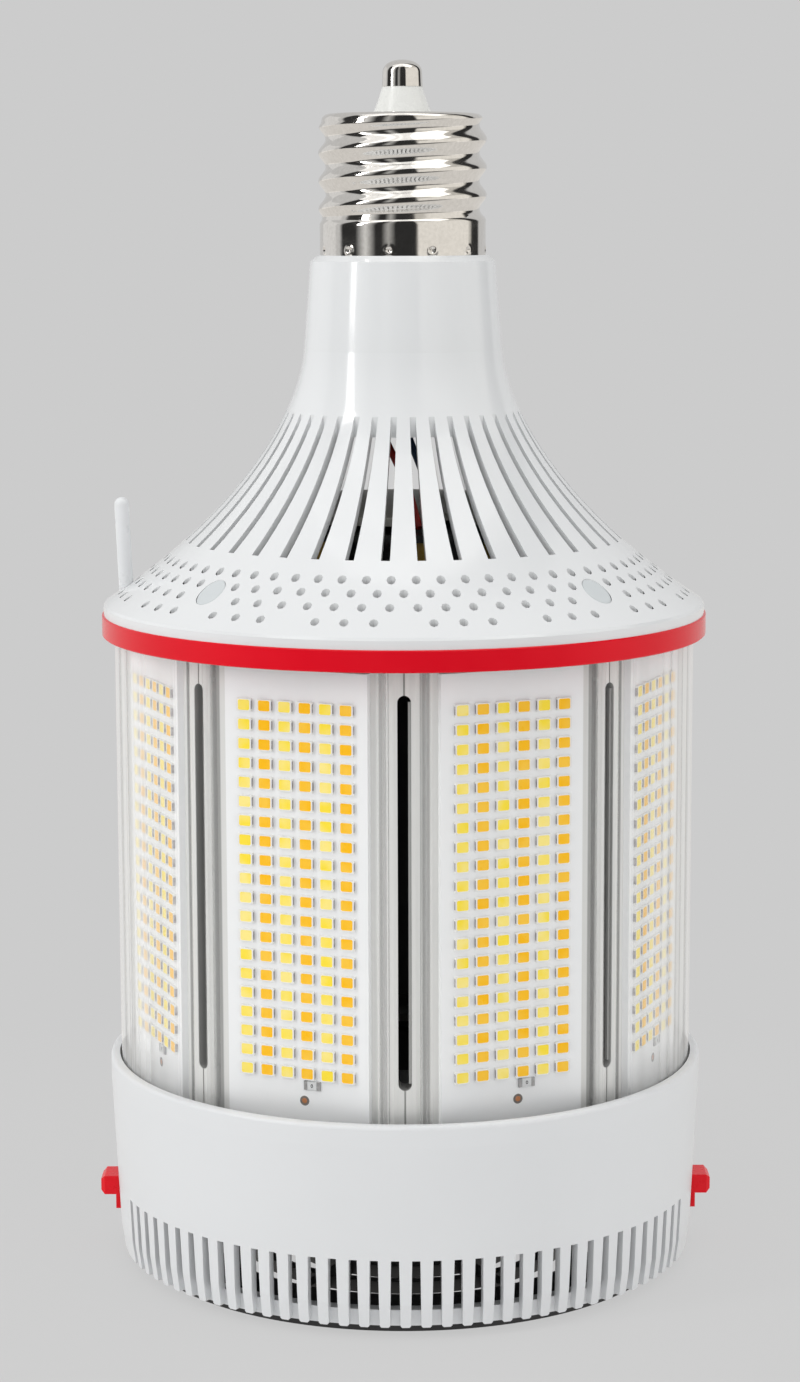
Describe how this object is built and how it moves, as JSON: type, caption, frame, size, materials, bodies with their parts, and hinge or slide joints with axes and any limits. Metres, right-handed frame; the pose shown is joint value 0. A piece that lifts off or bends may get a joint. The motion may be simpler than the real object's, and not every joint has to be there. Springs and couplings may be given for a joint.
{
  "type": "led hid replacement lamp",
  "caption": "LED lamp with a screw base, a vented flared shoulder over an octagonal finned body of LED boards under clear covers, and a slotted collar that hides a cooling fan.",
  "frame": {"origin": "centre of the bottom grille's lower face, on the plane that the lamp stands on", "axes": "+Z along the lamp's axis towards the contact pin, -Y towards the front of the picture, +X through the right latch"},
  "size_m": [0.1482, 0.1428, 0.2839],
  "materials": {
    "nickel": "polished nickel plate",
    "insulator_white": "satin white insulator",
    "housing_white": "glossy white moulding",
    "plug_grey": "satin light grey",
    "trim_red": "glossy red",
    "antenna_white": "satin white",
    "sink_grey": "light grey coated aluminium",
    "board_white": "white solder mask",
    "clear_cover": "clear",
    "collar_white": "satin white moulding",
    "black_plastic": "black",
    "latch_red": "glossy red",
    "copper": "wound copper",
    "driver_black": "potted black",
    "board_dark": "dark circuit board",
    "part_amber": "lacquered parts",
    "shield_beige": "beige insulating sheet",
    "wire_red": "red insulation",
    "wire_blue": "dark blue insulation",
    "screw_steel": "zinc plated"
  },
  "bodies": {
    "lamp": {"antenna": "antenna_white", "base_insulator": "insulator_white", "bottom_grille": "black_plastic", "bottom_plate": "sink_grey", "collar": "collar_white", "collar_screws": "screw_steel", "contact_pin": "nickel", "driver_board": "board_dark", "driver_case": "driver_black", "driver_core": "driver_black", "driver_parts": "part_amber", "driver_shield": "shield_beige", "driver_standoffs": "insulator_white", "fan_frame": "black_plastic", "fan_legs": "black_plastic", "fan_stator": "copper", "heat_sink": "sink_grey", "housing_screws": "screw_steel", "latch_guides": "black_plastic", "lead_blue": "wire_blue", "lead_red": "wire_red", "led_board_1": "board_white", "led_board_2": "board_white", "led_board_3": "board_white", "led_board_4": "board_white", "led_board_5": "board_white", "led_board_6": "board_white", "led_board_7": "board_white", "led_board_8": "board_white", "lens_cover_1": "clear_cover", "lens_cover_2": "clear_cover", "lens_cover_3": "clear_cover", "lens_cover_4": "clear_cover", "lens_cover_5": "clear_cover", "lens_cover_6": "clear_cover", "lens_cover_7": "clear_cover", "lens_cover_8": "clear_cover", "screw_plugs": "plug_grey", "screw_shell": "nickel", "top_housing": "housing_white", "top_plate": "sink_grey", "trim_ring": "trim_red"},
    "fan": {"fan_rotor": "black_plastic"},
    "right_latch": {"latch_right": "latch_red"},
    "left_latch": {"latch_left": "latch_red"}
  },
  "joints": [
    {"name": "fan_spin", "type": "hinge", "parent": "lamp", "child": "fan", "pos_m": [0, 0, 0.0305], "axis": [0, 0, 1], "continuous": true},
    {"name": "right_latch_press", "type": "slide", "parent": "lamp", "child": "right_latch", "axis": [-1, 0, 0], "range_m": [0, 0.003], "stiffness_N_per_m": 600, "springref_m": -0.001},
    {"name": "left_latch_press", "type": "slide", "parent": "lamp", "child": "left_latch", "axis": [1, 0, 0], "range_m": [0, 0.003], "stiffness_N_per_m": 600, "springref_m": -0.001}
  ]
}
